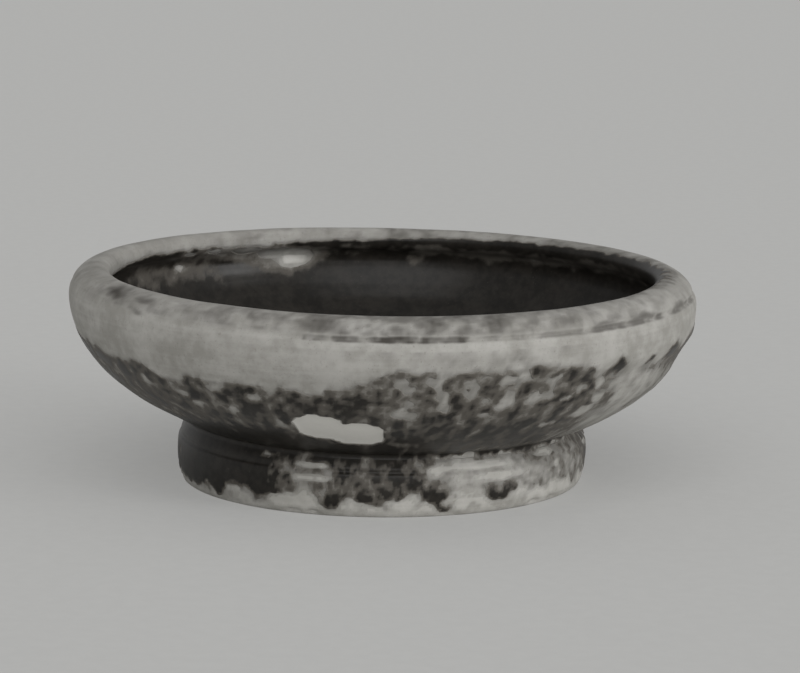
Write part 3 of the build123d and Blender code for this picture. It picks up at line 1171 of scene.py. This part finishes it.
def clay_foot():
    """The ring foot."""
    path = foot_path()
    grid = grid_of(path, FOOT_COLUMNS)
    _, height, radius = grid
    left = outer_slip_left(*grid)
    # Bare clay on the foot turns paler: partly fresh worn clay, partly painted light on its lower edge
    stain = halo(left, *OUTER_HALO) - taken_at(left, FOOT_PALE_WEAR_AND_LIGHT)
    stain = stain * (radius > FOOT_RADIUS - FOOT_FACE_DEPTH) * smooth(height, *REST_FADE)
    relief = relief_of(*grid, inside=False)
    normals = normals_of(path, looped=True)
    return turned_piece("foot_ring_clay", path, normals, relief, stain, clay, looped=True)


def clay_lute():
    """The lute between bowl and foot."""
    path = lute_path()
    relief = relief_of(*grid_of(path, LUTE_COLUMNS), inside=False)
    stain = np.full(relief.shape, LUTE_STAIN)
    normals = lute_normals(path)
    return turned_piece("luting_slip_fillet", path, normals, relief, stain, lute_clay, looped=True)


def outer_slip():
    """The slip on the lower wall and the foot's outer face."""
    return slip_piece("outer_slip", outer_slip_path(), OUTER_COLUMNS, outer_slip_left, inside=False)


def inner_slip():
    """The slip inside the bowl."""
    return slip_piece("inner_slip", inner_slip_path(), INNER_COLUMNS, inner_slip_left, inside=True)


def under_slip():
    """The slip under the base and inside the foot."""
    return slip_piece("underside_slip", under_slip_path(), UNDER_COLUMNS, under_slip_left, inside=False)


for piece, node, slot in (
    (clay_bowl(), "bowl_body", "clay"),
    (clay_foot(), "foot_ring", "clay"),
    (clay_lute(), "luting_slip", "lute"),
    (outer_slip(), "outer_slip_coat", "slip"),
    (inner_slip(), "inner_slip_coat", "slip"),
    (under_slip(), "underside_slip_coat", "slip"),
):
    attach(piece, "root")
    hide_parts(node)


# Stage, light and camera


def from_camera_side(azimuth, elevation):
    """The direction from the bowl to an azimuth and elevation."""
    a, e = math.radians(azimuth), math.radians(elevation)
    return Vector((math.sin(a) * math.cos(e), -math.cos(a) * math.cos(e), math.sin(e)))


def floor():
    """A plain pale floor, wide enough to fill the view."""
    turns = np.linspace(0, 2 * math.pi, FLOOR_SIDES, endpoint=False)
    corners = [(FLOOR_REACH * math.cos(a), FLOOR_REACH * math.sin(a), 0) for a in turns]
    mesh = bpy.data.meshes.new("floor")
    mesh.from_pydata(corners, [], [list(range(FLOOR_SIDES))])
    s = Shader("floor_paper")
    fibre = s.noise(size=3.0)
    colour = s.mix(s.ranged(fibre, 0.3, 0.7), FLOOR_DEEP, FLOOR_PALE)
    mesh.materials.append(s.finish(Base_Color=colour, Roughness=0.95, Specular_IOR_Level=0.0))
    glow = s.node("ShaderNodeEmission", {"Color": colour, "Strength": FLOOR_GLOW[1]})
    seen = s.node("ShaderNodeLightPath").outputs["Is Camera Ray"]
    share = s.node("ShaderNodeMapRange", {"Value": seen, "To Max": FLOOR_GLOW[0]}).outputs[0]
    both = s.node("ShaderNodeMixShader", {0: share, 1: s.surface.outputs[0], 2: glow.outputs[0]})
    s.put(s.tree.nodes["Material Output"].inputs["Surface"], both.outputs[0])
    made = in_scene("floor", mesh)


def soft_light(name, strength, azimuth, elevation, across):
    """A soft light from far away."""
    data = bpy.data.lights.new(name, "SUN")
    data.energy = strength
    data.angle = math.radians(across)
    lamp = in_scene(name, data)
    lamp.rotation_euler = from_camera_side(azimuth, elevation).to_track_quat("Z", "Y").to_euler()


def world():
    """Even soft light from all round. To the camera the far surroundings are as pale as the floor."""
    made = bpy.data.worlds.new("studio")
    bpy.context.scene.world = made
    made.use_nodes = True
    tree = made.node_tree
    background = tree.nodes["Background"]
    background.inputs["Color"].default_value = (1.0, 1.0, 1.0, 1.0)
    path = tree.nodes.new("ShaderNodeLightPath")
    strength = tree.nodes.new("ShaderNodeMapRange")
    tree.links.new(path.outputs["Is Camera Ray"], strength.inputs["Value"])
    strength.inputs["To Min"].default_value = AMBIENT
    strength.inputs["To Max"].default_value = FAR_LEVEL
    tree.links.new(strength.outputs[0], background.inputs["Strength"])


def camera():
    """The photograph's view, from a little above."""
    back = from_camera_side(0, CAMERA_ELEVATION)
    data = bpy.data.cameras.new("camera")
    data.sensor_width = SENSOR_WIDTH
    data.lens = SENSOR_WIDTH * FOCAL_PIXELS / IMAGE_WIDTH
    data.shift_x = (IMAGE_WIDTH / 2 - TARGET_PIXEL[0]) / IMAGE_WIDTH
    data.shift_y = (TARGET_PIXEL[1] - IMAGE_HEIGHT / 2) / IMAGE_WIDTH
    data.clip_start = CLIP_START
    made = in_scene("camera", data)
    made.location = CAMERA_TARGET + back * CAMERA_DISTANCE
    turn = Quaternion(back, math.radians(CAMERA_ROLL)) @ back.to_track_quat("Z", "Y")
    made.rotation_euler = turn.to_euler()
    bpy.context.scene.camera = made


floor()
soft_light("front", *FRONT_LIGHT)
soft_light("key", *KEY_LIGHT)
world()
camera()
bpy.context.scene.view_settings.view_transform = "Standard"
